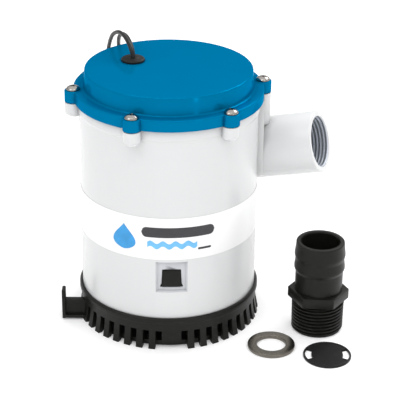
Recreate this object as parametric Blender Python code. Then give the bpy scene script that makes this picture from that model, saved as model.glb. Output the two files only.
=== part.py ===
"""Submersible bilge pump with snap-off strainer base, and its loose outlet kit.

Metres, +Z up.  The origin is the middle of the strainer base's underside, and
+X is the horizontal direction of the outlet.  Every visible mesh object is one
solid piece of the pump.  Objects that are hidden from the render are cutters or
join helpers of the Boolean modifiers that name them.
"""

import math

import bpy
import bmesh
from mathutils import Matrix, Vector

MM = 0.001

# ------------------------------------------------------------------ sizes, mm
SEG_BIG = 48
SEG_MID = 28
SEG_SMALL = 14

HOUSING_R = 71.5
HOUSING_WALL = 3.0
HOUSING_Z0 = 18.0
HOUSING_Z1 = 188.1
RIM_R = 72.6
RIM_Z0 = 179.6
BULKHEAD_Z0 = 80.0
BULKHEAD_Z1 = 83.0

COVER_R = 75.3
COVER_Z0 = 188.4
COVER_LEDGE_Z = 197.7
COVER_DISC_R = 66.6
COVER_TOP_Z = 212.4

SCREW_CIRCLE_R = 75.6
SCREW_ANGLES = (30.0, 90.0, 150.0, 210.0, 270.0, 330.0)
BOSS_R = 6.9
SCREW_HOLE_R = 2.35
SCREW_SHANK_R = 2.0
SCREW_HEAD_R = 5.5
SCREW_HEAD_H = 3.1

OUTLET_TILT = 14.6
OUTLET_MOUTH_X = 112.7
OUTLET_Y = 46.2  # the outlet leaves the housing wall at a tangent
OUTLET_MOUTH_Z = 148.9
OUTLET_R = 25.0
OUTLET_BORE_R = 20.4
OUTLET_BORE_DEPTH = 30.0
OUTLET_INNER_R = 18.0
PAD_R = 75.9
PAD_HALF = 25.3

LATCH_ANGLE = -66.5
LATCH_PIVOT_Z = 9.0
LATCH_R0 = 65.5
LATCH_R1 = 67.7
LATCH_W = 14.0
WINDOW_LOW_W = 18.2
WINDOW_HIGH_W = 15.2
WINDOW_Z0 = 54.3
WINDOW_Z1 = 69.8
FRAME_FLOOR_R = 69.7
FRAME_HALF_DEG = 10.1
FRAME_Z0 = 50.4
FRAME_Z1 = 77.2

LABEL_Z0 = 79.3
LABEL_Z1 = 115.2

BASE_R = 74.0
BASE_WALL_R = 73.0
BASE_FOOT_R = 75.2
BASE_TOP_Z = 27.4
SLOT_COUNT = 44
SLOT_HALF_DEG = 2.0
SLOT_TOP_Z = 16.6

GROMMET_X = -32.0
GROMMET_Y = 3.4
WIRE_R = 1.65

SIDE_TURN = 20.3  # the side bracket and the loose kit are laid out in axes turned by this

ADAPTER_AT = (122.7, -33.8)
WASHER_AT = (84.0, -67.4)
VALVE_AT = (128.0, -81.4)


# ------------------------------------------------------------------ scene reset
for old in list(bpy.data.objects):
    bpy.data.objects.remove(old, do_unlink=True)


# ------------------------------------------------------------------ materials
def material(name, colour, roughness, metallic=0.0):
    made = bpy.data.materials.new(name)
    made.use_nodes = True
    shader = made.node_tree.nodes["Principled BSDF"]
    shader.inputs["Base Color"].default_value = (*colour, 1.0)
    shader.inputs["Roughness"].default_value = roughness
    shader.inputs["Metallic"].default_value = metallic
    made.diffuse_color = (*colour, 1.0)
    return made


WHITE = material("white_housing_plastic", (0.82, 0.83, 0.84), 0.28)
LABEL = material("white_label_film", (0.95, 0.95, 0.95), 0.35)
BLUE = material("blue_cover_plastic", (0.0, 0.195, 0.43), 0.3)
BLACK = material("black_base_plastic", (0.032, 0.033, 0.03), 0.5)
RUBBER = material("black_rubber", (0.018, 0.018, 0.02), 0.62)
CABLE = material("black_cable_jacket", (0.02, 0.02, 0.022), 0.5)
STEEL = material("stainless_steel", (0.6, 0.58, 0.55), 0.28, 1.0)
CAN = material("plated_motor_steel", (0.5, 0.5, 0.48), 0.4, 1.0)
INNER = material("grey_inner_plastic", (0.3, 0.31, 0.32), 0.45)
MAGNET = material("ferrite", (0.05, 0.05, 0.055), 0.7)
LAMINATION = material("lamination_steel", (0.35, 0.35, 0.36), 0.45, 1.0)
COPPER = material("enamelled_copper", (0.55, 0.2, 0.07), 0.35, 1.0)
BRASS = material("brass", (0.7, 0.5, 0.18), 0.3, 1.0)
CARBON = material("carbon", (0.03, 0.03, 0.03), 0.75)


# ------------------------------------------------------------------ shape makers
# Each returns (points in mm, faces).
def rad(degrees):
    return math.radians(degrees)


def turned(profile, seg, phase=0.0):
    """A closed (r, z) loop turned about Z; points at r = 0 become single poles."""
    points, rings = [], []
    for r, z in profile:
        if r < 1e-9:
            rings.append([len(points)] * seg)
            points.append((0.0, 0.0, z))
            continue
        ring = []
        for i in range(seg):
            a = phase + 2 * math.pi * i / seg
            ring.append(len(points))
            points.append((r * math.cos(a), r * math.sin(a), z))
        rings.append(ring)
    faces = []
    for a, b in zip(rings, rings[1:] + rings[:1]):
        if a[0] == a[1] and b[0] == b[1]:
            continue
        for i in range(seg):
            j = (i + 1) % seg
            corners = []
            for c in (a[i], b[i], b[j], a[j]):
                if c not in corners:
                    corners.append(c)
            faces.append(corners)
    return points, faces


def prism(outline, z0, z1):
    n = len(outline)
    points = [(x, y, z0) for x, y in outline] + [(x, y, z1) for x, y in outline]
    faces = [list(range(n))[::-1], list(range(n, 2 * n))]
    faces += [[i, (i + 1) % n, n + (i + 1) % n, n + i] for i in range(n)]
    return points, faces


def block(x0, x1, y0, y1, z0, z1):
    return prism([(x0, y0), (x1, y0), (x1, y1), (x0, y1)], z0, z1)


def rod(r, z0, z1, seg, phase=0.0):
    return prism(
        [(r * math.cos(phase + 2 * math.pi * i / seg), r * math.sin(phase + 2 * math.pi * i / seg)) for i in range(seg)],
        z0,
        z1,
    )


def sector(r0, r1, a0, a1, z0, z1, steps):
    outline = [(r1 * math.cos(rad(a0 + (a1 - a0) * i / steps)), r1 * math.sin(rad(a0 + (a1 - a0) * i / steps))) for i in range(steps + 1)]
    outline += [(r0 * math.cos(rad(a1 + (a0 - a1) * i / steps)), r0 * math.sin(rad(a1 + (a0 - a1) * i / steps))) for i in range(steps + 1)]
    return prism(outline, z0, z1)


def loft(sections):
    """Closed sections of equal point count, capped at both ends."""
    n = len(sections[0])
    points = [p for s in sections for p in s]
    faces = [list(range(n))[::-1], list(range(len(points) - n, len(points)))]
    for k in range(len(sections) - 1):
        for i in range(n):
            j = (i + 1) % n
            faces.append([k * n + i, k * n + j, (k + 1) * n + j, (k + 1) * n + i])
    return points, faces


def moved(shape, matrix):
    points, faces = shape
    return [tuple(matrix @ Vector(p)) for p in points], faces


def shifted(shape, x=0.0, y=0.0, z=0.0):
    return moved(shape, Matrix.Translation((x, y, z)))


def turned_by(shape, degrees):
    return moved(shape, Matrix.Rotation(rad(degrees), 4, "Z"))


def together(*shapes):
    points, faces = [], []
    for some, some_faces in shapes:
        base = len(points)
        points += some
        faces += [[base + i for i in f] for f in some_faces]
    return points, faces


def tube_along(path, r, sides):
    """A round rod that follows a path of points, with flat ends."""
    path = [Vector(p) for p in path]
    sections = []
    normal = None
    for i, p in enumerate(path):
        ahead = path[min(i + 1, len(path) - 1)] - path[max(i - 1, 0)]
        ahead.normalize()
        if normal is None:
            normal = ahead.orthogonal().normalized()
        else:
            normal = (normal - ahead * normal.dot(ahead)).normalized()
        side = ahead.cross(normal)
        sections.append([tuple(p + r * (math.cos(t) * normal + math.sin(t) * side)) for t in [2 * math.pi * k / sides for k in range(sides)]])
    return loft(sections)


# ------------------------------------------------------------------ objects
def thing(name, shape, stuff=None, at=(0.0, 0.0, 0.0), helper=False, smooth=35.0):
    """A mesh object whose origin is at `at` (mm); the shape is given in world mm."""
    points, faces = shape
    mesh = bpy.data.meshes.new(name)
    mesh.from_pydata([((x - at[0]) * MM, (y - at[1]) * MM, (z - at[2]) * MM) for x, y, z in points], [], faces)
    bm = bmesh.new()
    bm.from_mesh(mesh)
    bmesh.ops.recalc_face_normals(bm, faces=bm.faces)
    bm.to_mesh(mesh)
    bm.free()
    if stuff:
        mesh.materials.append(stuff)
    obj = bpy.data.objects.new(name, mesh)
    obj.location = (at[0] * MM, at[1] * MM, at[2] * MM)
    bpy.context.scene.collection.objects.link(obj)
    if helper:
        obj.hide_render = True
        obj.display_type = "WIRE"
    else:
        mesh.shade_smooth()
        mesh.set_sharp_from_angle(angle=rad(smooth))
    return obj


def boolean(obj, shape, how, name):
    other = thing(name, shape, helper=True)
    mod = obj.modifiers.new(name, "BOOLEAN")
    mod.operation = how
    mod.solver = "EXACT"
    mod.object = other
    return other


def cut(obj, shape, name):
    return boolean(obj, shape, "DIFFERENCE", name)


def join(obj, shape, name):
    return boolean(obj, shape, "UNION", name)


def empty(name, at):
    obj = bpy.data.objects.new(name, None)
    obj.location = (at[0] * MM, at[1] * MM, at[2] * MM)
    obj.empty_display_size = 0.01
    bpy.context.scene.collection.objects.link(obj)
    return obj


def hang(obj, parent):
    """Parents an object without moving it."""
    obj.parent = parent
    obj.location = Vector(obj.location) - Vector(parent.location)


def polar(r, degrees):
    return r * math.cos(rad(degrees)), r * math.sin(rad(degrees))


# ------------------------------------------------------------------ strainer base
base = thing(
    "strainer_base",
    turned(
        [(0, 5.2), (0, 0), (12, 0), (12, 1.2), (70.2, 1.2), (71.6, 0), (BASE_FOOT_R, 0), (BASE_FOOT_R - 0.4, 1.2), (73.7, 7.0), (BASE_WALL_R, 12.0),
         (BASE_WALL_R, 20.3), (BASE_R, 21.0), (BASE_R, 25.6), (BASE_R - 0.8, 27.0), (71.9, BASE_TOP_Z), (71.9, 17.7), (70.2, 17.7), (70.2, 5.2)],
        SEG_BIG,
    ),
    BLACK,
)
for k, piece in enumerate([
    block(-87.2, -84.4, -28.5, -19.5, 1.2, 27.2),
    block(-85.5, -67.4, -25.4, -22.6, 1.4, 17.5),
    block(-85.4, -67.4, -28.2, -19.8, 1.3, 4.1),
    block(-85.3, -67.5, -26.8, -21.2, 15.0, 17.6),
]):
    join(base, turned_by(piece, SIDE_TURN), f"bracket_piece_{k + 1}")
slots = []
for k in range(SLOT_COUNT):
    if k in (0, SLOT_COUNT // 2):
        continue
    a = LATCH_ANGLE + 360.0 * k / SLOT_COUNT
    if abs((a - (SIDE_TURN + 180 + 18.5) + 180) % 360 - 180) < 6.5:
        continue
    slots.append(sector(69.2, 76.0, a - SLOT_HALF_DEG, a + SLOT_HALF_DEG, -1.0, SLOT_TOP_Z, 1))
cut(base, together(*slots), "strainer_slots")
cut(
    base,
    together(
        sector(69.3, 76.1, LATCH_ANGLE - 9.9, LATCH_ANGLE + 9.9, -1.1, 7.2, 4),
        sector(69.3, 76.1, LATCH_ANGLE + 170.1, LATCH_ANGLE + 189.9, -1.1, 7.2, 4),
        *[shifted(rod(2.4, -1.0, 7.0, 12), *polar(42.0, a)) for a in (45.0, 135.0, 225.0, 315.0)],
    ),
    "base_notches_and_holes",
)


def latch(name, angle):
    wedge = loft([
        [(LATCH_R1 - 0.6, -7.7, 55.0), (70.6, -7.7, 55.0), (70.6, 7.7, 55.0), (LATCH_R1 - 0.6, 7.7, 55.0)],
        [(LATCH_R1 - 0.6, -7.6, 57.0), (70.5, -7.6, 57.0), (70.5, 7.6, 57.0), (LATCH_R1 - 0.6, 7.6, 57.0)],
        [(LATCH_R1 - 0.6, -6.9, 69.2), (69.3, -6.9, 69.2), (69.3, 6.9, 69.2), (LATCH_R1 - 0.6, 6.9, 69.2)],
    ])
    half = LATCH_W / 2 - 0.8
    tongue = block(LATCH_R0, LATCH_R1, -half, half, 5.6, 73.0)
    at = (*polar((LATCH_R0 + LATCH_R1) / 2, angle), LATCH_PIVOT_Z)
    obj = thing(name, turned_by(tongue, angle), BLACK, at=at)
    join(obj, turned_by(wedge, angle), name + "_button")
    return obj


latch_front = latch("strainer_latch_front", LATCH_ANGLE)
latch_rear = latch("strainer_latch_rear", LATCH_ANGLE + 180.0)

# ------------------------------------------------------------------ pump housing
SLOPE = math.tan(rad(OUTLET_TILT))
outlet_frame = Matrix.Translation((OUTLET_MOUTH_X, OUTLET_Y, OUTLET_MOUTH_Z)) @ Matrix.Rotation(rad(90.0 - OUTLET_TILT), 4, "Y")


def outlet_z(x):
    return OUTLET_MOUTH_Z - (OUTLET_MOUTH_X - x) * SLOPE


housing = thing(
    "pump_housing",
    turned(
        [(HOUSING_R, HOUSING_Z0), (HOUSING_R, RIM_Z0), (RIM_R, RIM_Z0 + 1.0), (RIM_R, HOUSING_Z1), (68.5, HOUSING_Z1),
         (68.5, BULKHEAD_Z1), (8.0, BULKHEAD_Z1), (8.0, BULKHEAD_Z0), (68.5, BULKHEAD_Z0), (68.5, HOUSING_Z0)],
        SEG_BIG,
    ),
    WHITE,
)
# a thicker patch of wall round the outlet: round below the tube, upright sides up to the rim
def outlet_pad(grow=0.0):
    sections = []
    first = math.degrees(math.asin((OUTLET_Y - PAD_HALF) / PAD_R)) + 0.05
    last = math.degrees(math.asin((OUTLET_Y + PAD_HALF) / PAD_R)) - 0.05
    for k in range(13):
        a = rad(first - grow + (last - first + 2 * grow) * (1 - math.cos(math.pi * k / 12)) / 2)
        low = outlet_z(73.5 * math.cos(a)) - grow - math.sqrt(max(0.0, PAD_HALF ** 2 - (PAD_R * math.sin(a) - OUTLET_Y) ** 2))
        sections.append([(r * math.cos(a), r * math.sin(a), z) for r, z in ((69.6, low), (PAD_R, low), (PAD_R, 187.6), (69.6, 187.6))])
    return loft(sections)


join(housing, outlet_pad(), "outlet_pad")
join(housing, moved(rod(OUTLET_R, -108.0, 0.0, SEG_MID, 0.06), outlet_frame), "outlet_tube")
join(
    housing,
    together(*[
        shifted(turned([(0, 187.9), (BOSS_R, 187.9), (BOSS_R, RIM_Z0 - 0.4), (BOSS_R - 2.2, RIM_Z0 - 2.4), (0, RIM_Z0 - 2.4)], SEG_SMALL, rad(a + 5.0)),
                *polar(SCREW_CIRCLE_R, a))
        for a in SCREW_ANGLES[1:]
    ], shifted(turned([(0, 187.9), (BOSS_R, 187.9), (BOSS_R, 161.5), (BOSS_R - 2.2, 159.5), (0, 159.5)], SEG_SMALL, rad(35.0)),
               *polar(SCREW_CIRCLE_R, SCREW_ANGLES[0]))),
    "screw_bosses",
)
cut(
    housing,
    moved(
        turned([(0, 2.0), (OUTLET_BORE_R + 1.2 + 2.0, 2.0), (OUTLET_BORE_R, -1.2), (OUTLET_BORE_R, -OUTLET_BORE_DEPTH),
                (OUTLET_INNER_R, -OUTLET_BORE_DEPTH), (OUTLET_INNER_R, -94.0), (0, -94.0)], SEG_MID, 0.06),
        outlet_frame,
    ),
    "outlet_bore",
)
cut(housing, rod(68.8, 88.0, 195.0, SEG_BIG), "annulus_clearance")


def window_hole(angle):
    low, high = WINDOW_LOW_W / 2, WINDOW_HIGH_W / 2
    return turned_by(loft([
        [(x, -low, WINDOW_Z0), (x, low, WINDOW_Z0), (x, high, WINDOW_Z1), (x, -high, WINDOW_Z1)] for x in (62.0, 72.5)
    ]), angle)


def window_recess(angle):
    return sector(FRAME_FLOOR_R, 75.0, angle - FRAME_HALF_DEG, angle + FRAME_HALF_DEG, FRAME_Z0, FRAME_Z1, 6)


cut(housing, together(window_recess(LATCH_ANGLE), window_recess(LATCH_ANGLE + 180)), "latch_recesses")
cut(housing, together(window_hole(LATCH_ANGLE), window_hole(LATCH_ANGLE + 180)), "latch_windows")
cut(
    housing,
    together(
        *[sector(48.7, 52.4, a - 29.3, a + 29.3, 78.0, 85.3, 7) for a in (1.0, 91.0, 181.0, 271.0)],
        *[shifted(rod(SCREW_HOLE_R, 179.5, 190.0, 12), *polar(SCREW_CIRCLE_R, a)) for a in SCREW_ANGLES],
        *[shifted(rod(1.8, 79.0, 82.3, 12), *polar(59.0, a)) for a in (0.0, 120.0, 240.0)],
    ),
    "water_passages_and_holes",
)

label = thing(
    "label_band",
    turned([(HOUSING_R + 0.05, LABEL_Z0), (HOUSING_R + 0.35, LABEL_Z0), (HOUSING_R + 0.35, LABEL_Z1), (HOUSING_R + 0.05, LABEL_Z1)], SEG_BIG),
    LABEL,
)
cut(label, outlet_pad(0.4), "label_notch_under_pad")
cut(label, moved(rod(OUTLET_R + 0.4, -107.0, 0.0, SEG_MID, 0.06), outlet_frame), "label_notch_under_tube")

# ------------------------------------------------------------------ top cover
cover = thing(
    "top_cover",
    turned(
        [(0, COVER_TOP_Z), (65.7, COVER_TOP_Z), (COVER_DISC_R, 211.6), (67.4, 199.0), (68.8, COVER_LEDGE_Z),
         (74.8, COVER_LEDGE_Z), (COVER_R, 197.2), (COVER_R, COVER_Z0), (68.1, COVER_Z0), (68.1, 184.4), (65.5, 184.4), (63.4, 209.4),
         (47.5, 209.4), (47.5, 187.9), (44.0, 187.9), (44.0, 209.4), (0, 209.4)],
        SEG_BIG,
    ),
    BLUE,
)
join(
    cover,
    together(*[
        shifted(turned([(0, 197.9), (BOSS_R - 0.4, 197.9), (BOSS_R, 197.5), (BOSS_R, 188.5), (0, 188.5)], SEG_SMALL), *polar(SCREW_CIRCLE_R, a))
        for a in SCREW_ANGLES
    ]),
    "cover_bosses",
)
cut(
    cover,
    together(
        *[shifted(rod(SCREW_HOLE_R, 186.0, 200.0, 12), *polar(SCREW_CIRCLE_R, a)) for a in SCREW_ANGLES],
        shifted(rod(5.3, 207.0, 214.0, SEG_SMALL), GROMMET_X, GROMMET_Y),
        turned([(68.9, 187.0), (71.1, 187.0), (71.1, 190.0), (68.9, 190.0)], SEG_BIG),
    ),
    "cover_holes",
)
thing("cover_gasket", turned([(69.3, 188.2), (70.7, 188.2), (70.7, 189.6), (69.3, 189.6)], SEG_BIG), RUBBER)

for k, a in enumerate(SCREW_ANGLES):
    x, y = polar(SCREW_CIRCLE_R, a)
    z = 198.1
    head = [(0, z + SCREW_HEAD_H), (2.2, z + SCREW_HEAD_H - 0.1), (4.1, z + 2.4), (5.0, z + 1.5), (SCREW_HEAD_R, z + 0.6), (SCREW_HEAD_R - 0.2, z)]
    shank = [(SCREW_SHANK_R, z), (SCREW_SHANK_R, 182.2), (1.0, 180.4), (0, 180.4)]
    thing(f"cover_screw_{k + 1}", shifted(turned(head + shank, 12), x, y), STEEL, at=(x, y, z))

wire_spots = []
for side in (-1.0, 1.0):
    # the two leads stand one behind the other
    a = rad(110.3)
    wire_spots.append((GROMMET_X + side * 2.25 * math.cos(a), GROMMET_Y + side * 2.25 * math.sin(a)))
grommet = thing(
    "cable_grommet",
    shifted(
        turned([(0, 215.2), (7.6, 215.2), (8.9, 214.9), (9.45, 214.1), (9.3, 212.7), (4.9, 212.7), (4.9, 209.1), (7.6, 209.1), (7.0, 206.4), (0, 206.4)], SEG_SMALL),
        GROMMET_X, GROMMET_Y,
    ),
    RUBBER,
    at=(GROMMET_X, GROMMET_Y, 212.4),
)
cut(grommet, together(*[shifted(rod(2.0, 200.0, 220.0, 10), *spot) for spot in wire_spots]), "grommet_holes")


def smooth_path(knots, steps):
    """Points of a Catmull-Rom spline through the knots."""
    knots = [Vector(k) for k in knots]
    knots = [knots[0] * 2 - knots[1]] + knots + [knots[-1] * 2 - knots[-2]]
    out = []
    for i in range(1, len(knots) - 2):
        p0, p1, p2, p3 = knots[i - 1:i + 3]
        for s in range(steps):
            t = s / steps
            out.append(0.5 * ((2 * p1) + (p2 - p0) * t + (2 * p0 - 5 * p1 + 4 * p2 - p3) * t * t + (3 * p1 - p0 - 3 * p2 + p3) * t ** 3))
    out.append(knots[-2])
    return out


LEAD_KNOTS = {
    "power_wire_negative": [(*wire_spots[0], 163.0), (*wire_spots[0], 190.0), (*wire_spots[0], 212.0), (*wire_spots[0], 217.0), (-34.5, 4.0, 223.2),
                            (-40.5, 10.0, 227.3), (-47.8, 17.5, 228.5), (-54.3, 23.6, 226.7), (-60.8, 29.8, 221.8), (-66.4, 37.3, 213.9),
                            (-70.9, 44.0, 205.0), (-72.8, 45.8, 197.0), (-73.0, 46.0, 187.0)],
    "power_wire_positive": [(*wire_spots[1], 163.0), (*wire_spots[1], 190.0), (*wire_spots[1], 212.0), (*wire_spots[1], 217.0), (-36.0, 9.3, 222.5),
                            (-42.1, 16.4, 226.0), (-48.7, 23.6, 225.8), (-54.1, 30.1, 222.6), (-59.1, 37.9, 216.0), (-63.0, 46.4, 207.2),
                            (-62.9, 48.4, 200.0), (-62.8, 48.6, 188.0)],
}
for name, knots in LEAD_KNOTS.items():
    thing(name, tube_along(smooth_path(knots, 2), WIRE_R, 7), CABLE)

# ------------------------------------------------------------------ water end
bowl = thing(
    "volute_bowl",
    turned([(19, 24), (22, 24), (22, 31), (56, 31), (56, 76), (62, 76), (62, 79.7), (53, 79.7), (53, 33.5), (19, 33.5)], SEG_MID),
    INNER,
)
cut(bowl, together(*[shifted(rod(1.8, 75.0, 81.0, 12), *polar(59.0, a)) for a in (0.0, 120.0, 240.0)]), "bowl_holes")
for k, a in enumerate((0.0, 120.0, 240.0)):
    x, y = polar(59.0, a)
    thing(
        f"volute_screw_{k + 1}",
        shifted(turned([(0, 73.2), (2.2, 73.2), (2.6, 73.8), (2.6, 75.8), (1.4, 75.8), (1.4, 82.0), (0, 82.0)], 12), x, y),
        STEEL,
        at=(x, y, 75.8),
    )

impeller = thing(
    "impeller",
    turned([(4.3, 60), (9, 60), (9.5, 53), (46, 52), (46, 49.6), (10.0, 49.6), (9, 38), (4.3, 38)], SEG_MID),
    INNER,
)
vanes = []
for k in range(6):
    outline, back = [], []
    for i in range(7):
        t = i / 6
        r = 8.2 + (45.2 - 8.2) * t
        a = 60.0 * k + 62.0 * t ** 0.9
        half = math.degrees(1.2 / r)
        outline.append(polar(r, a + half))
        back.append(polar(r, a - half))
    vanes.append(prism(outline + back[::-1], 34.6, 50.4))
join(impeller, vanes[0], "vane_1")
for k in range(1, 6):
    join(impeller, vanes[k], f"vane_{k + 1}")
nut = thing("impeller_nut", rod(7.2, 31.8, 37.7, 6), BRASS)
cut(nut, rod(4.3, 30.0, 40.0, SEG_SMALL), "nut_bore")
thing("shaft_seal", turned([(4.3, 77.4), (7.7, 77.4), (7.7, 83.1), (4.9, 83.1), (4.3, 81.0)], SEG_SMALL), RUBBER)

# ------------------------------------------------------------------ motor
chamber = thing("motor_chamber", turned([(12, 83.3), (47, 83.3), (47, 186), (44.5, 186), (44.5, 86.2), (12, 86.2)], SEG_MID), INNER)
cut(chamber, together(*[shifted(rod(1.8, 84.3, 88.0, 12), *polar(24.0, a)) for a in (0.0, 180.0)]), "chamber_screw_holes")
thing(
    "chamber_oring",
    turned([(45.7 + 0.75 * math.cos(rad(a)), 186.95 + 0.7 * math.sin(rad(a))) for a in range(0, 360, 90)], SEG_MID),
    RUBBER,
)
can = thing("motor_can", turned([(11.3, 86.6), (38, 86.6), (38, 158), (36, 158), (36, 88.6), (11.3, 88.6)], SEG_MID), CAN)
cut(
    can,
    together(
        *[shifted(rod(1.8, 85.0, 90.0, 12), *polar(24.0, a)) for a in (0.0, 180.0)],
        *[shifted(rod(1.9, 85.0, 90.0, 12), *polar(33.7, a)) for a in (90.0, 270.0)],
    ),
    "can_holes",
)
for k, a in enumerate((0.0, 180.0)):
    x, y = polar(24.0, a)
    thing(
        f"motor_mount_screw_{'ab'[k]}",
        shifted(turned([(0, 90.7), (2.2, 90.7), (2.8, 90.1), (2.8, 88.8), (1.4, 88.8), (1.4, 84.6), (0, 84.6)], 12), x, y),
        STEEL,
        at=(x, y, 88.8),
    )
for k, a in enumerate((0.0, 180.0)):
    thing(f"magnet_{'ab'[k]}", sector(31.9, 35.6, a - 58, a + 58, 97.0, 148.0, 14), MAGNET)

spin = empty("rotor_axis", (0, 0, 100))
rotor = []
rotor.append(thing("motor_shaft", turned([(0, 182), (3.6, 182), (4, 181.4), (4, 31.0), (3.4, 30.4), (0, 30.4)], SEG_SMALL), STEEL))
core = thing("armature_core", turned([(4.3, 144), (31, 144), (31, 100), (4.3, 100)], SEG_MID), LAMINATION)
cut(core, together(*[turned_by(block(17.0, 33.0, -2.3, 2.3, 98.0, 146.0), 15.0 + 30.0 * k) for k in range(12)]), "core_slots")
rotor.append(core)
windings = thing("armature_windings", turned([(12, 99.4), (25, 99.4), (28.5, 97.5), (28.5, 94.5), (25, 92.6), (12, 92.6)], SEG_SMALL), COPPER)
join(windings, turned([(12, 151.6), (25, 151.6), (28.5, 149.5), (28.5, 146.5), (25, 144.6), (12, 144.6)], SEG_SMALL), "upper_end_turns")
join(windings, together(*[turned_by(block(17.5, 27.5, -1.8, 1.8, 97.0, 147.0), 15.0 + 30.0 * k) for k in range(12)]), "slot_bars")
rotor.append(windings)
commutator = thing("commutator", turned([(4.3, 153), (11.5, 153), (11.5, 156), (10, 156), (10, 172), (4.3, 172)], SEG_MID), COPPER)
cut(commutator, together(*[turned_by(block(8.8, 12.5, -0.3, 0.3, 152.0, 173.0), 3.75 + 30.0 * k) for k in range(12)]), "commutator_grooves")
rotor.append(commutator)
for obj in rotor + [impeller, nut]:
    hang(obj, spin)

for name, z in (("lower_bearing", 84.3), ("upper_bearing", 174.6)):
    thing(
        name,
        turned([(4.3, z), (11, z), (11, z + 6.4), (9.2, z + 6.4), (9.2, z + 5.9), (5.8, z + 5.9), (5.8, z + 6.4), (4.3, z + 6.4)], SEG_SMALL),
        STEEL,
    )
cap = thing(
    "motor_end_cap",
    turned([(13.5, 158.4), (38, 158.4), (38, 161.4), (29.5, 161.4), (29.5, 179), (11.3, 179), (11.3, 176.2), (27, 176.2), (27, 161.4), (13.5, 161.4)], SEG_MID),
    BLACK,
)
cut(
    cap,
    together(
        *[turned_by(block(24.0, 32.0, -7.0, 7.0, 163.0, 173.5), a) for a in (0.0, 180.0)],
        *[shifted(rod(1.9, 157.0, 163.0, 12), *polar(33.7, a)) for a in (90.0, 270.0)],
    ),
    "cap_openings",
)
for k, a in enumerate((90.0, 270.0)):
    tag = "ab"[k]
    x, y = polar(33.7, a)
    thing(
        f"through_bolt_{tag}",
        shifted(turned([(0, 163.9), (2.4, 163.9), (2.9, 163.3), (2.9, 161.7), (1.5, 161.7), (1.5, 84.0 + 2.8), (0, 84.0 + 2.8)], 12), x, y),
        STEEL,
        at=(x, y, 161.7),
    )
    holder = thing(f"brush_holder_{tag}", turned_by(block(12.2, 26.0, -4.6, 4.6, 161.8, 171.6), a), BRASS)
    cut(holder, turned_by(block(11.0, 25.2, -3.5, 3.5, 162.9, 170.5), a), f"holder_cavity_{tag}")
    bx, by = polar(14.0, a)
    thing(f"brush_{tag}", turned_by(block(10.35, 17.2, -3.15, 3.15, 163.3, 170.1), a), CARBON, at=(bx, by, 166.7))
    coil = [(17.9 + 6.6 * i / 32, 2.1 * math.cos(2 * math.pi * i / 8), 166.7 + 2.1 * math.sin(2 * math.pi * i / 8)) for i in range(33)]
    thing(f"brush_spring_{tag}", turned_by(tube_along(coil, 0.4, 4), a), STEEL)

# ------------------------------------------------------------------ loose outlet kit
ax, ay = ADAPTER_AT
threads = [(20.2, 0.0), (20.95, 1.2), (21.35, 26.2), (19.7, 26.8), (19.7, 30.0)]
adapter = thing(
    "hose_adapter",
    turned_by(
        shifted(
            turned(
                threads + [(19.25, 30.0), (19.25, 53.0), (20.5, 55.8), (20.5, 57.4), (19.8, 62.8), (19.8, 63.8), (20.5, 66.9), (20.5, 68.3), (19.7, 73.5), (19.5, 77.6),
                           (18.9, 78.7), (16.0, 78.7), (15.5, 78.2), (15.5, 0.0)],
                SEG_MID,
            ),
            ax, ay,
        ),
        SIDE_TURN,
    ),
    BLACK,
)
hex_collar = turned([(18.0, 27.5), (24.6, 27.5), (24.9, 27.9), (24.9, 35.6), (24.4, 36.0), (18.0, 36.0)], 6, rad(-4.0))
join(adapter, turned_by(shifted(hex_collar, ax, ay), SIDE_TURN), "hex_collar")
wx, wy = WASHER_AT
thing(
    "outlet_washer",
    turned_by(shifted(turned([(11.9, 0), (18.6, 0), (19.0, 0.5), (19.0, 2.5), (18.5, 3.0), (12.1, 3.0), (11.6, 2.5), (11.6, 0.4)], SEG_MID), wx, wy), SIDE_TURN),
    STEEL,
)
vx, vy = VALVE_AT
valve = thing(
    "check_valve",
    turned_by(shifted(turned([(0, 2.0), (18.5, 2.0), (19.1, 1.5), (19.1, 0.4), (18.8, 0), (0, 0)], SEG_MID), vx, vy), SIDE_TURN),
    RUBBER,
)
cut(
    valve,
    together(*[turned_by(shifted(sector(12.6, 17.7, a - 27, a + 27, -1.0, 3.0, 8), vx, vy), SIDE_TURN) for a in (0.0, 180.0)]),
    "valve_slots",
)
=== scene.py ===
import math

import bmesh
import bpy
from mathutils import Matrix, Vector


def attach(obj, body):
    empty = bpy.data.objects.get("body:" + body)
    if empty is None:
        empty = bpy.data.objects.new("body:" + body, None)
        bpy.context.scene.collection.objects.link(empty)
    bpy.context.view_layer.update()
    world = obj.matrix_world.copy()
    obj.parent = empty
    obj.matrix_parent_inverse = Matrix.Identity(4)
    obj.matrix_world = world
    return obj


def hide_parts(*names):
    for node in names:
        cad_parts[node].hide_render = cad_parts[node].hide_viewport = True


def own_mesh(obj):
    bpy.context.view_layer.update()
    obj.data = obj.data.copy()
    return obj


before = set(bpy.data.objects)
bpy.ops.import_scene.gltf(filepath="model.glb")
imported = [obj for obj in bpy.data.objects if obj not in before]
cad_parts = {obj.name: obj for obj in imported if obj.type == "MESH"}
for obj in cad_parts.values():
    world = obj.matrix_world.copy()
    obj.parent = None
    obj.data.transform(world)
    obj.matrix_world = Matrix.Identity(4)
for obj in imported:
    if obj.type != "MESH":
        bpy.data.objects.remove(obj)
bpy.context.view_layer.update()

MM = 0.001
SIDE = 20.3          # the bracket and the loose kit are laid out in axes turned by this
LATCH = -66.5        # direction of the front latch window
TILT = 14.6          # the outlet's rise


def rad(d):
    return math.radians(d)


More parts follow.
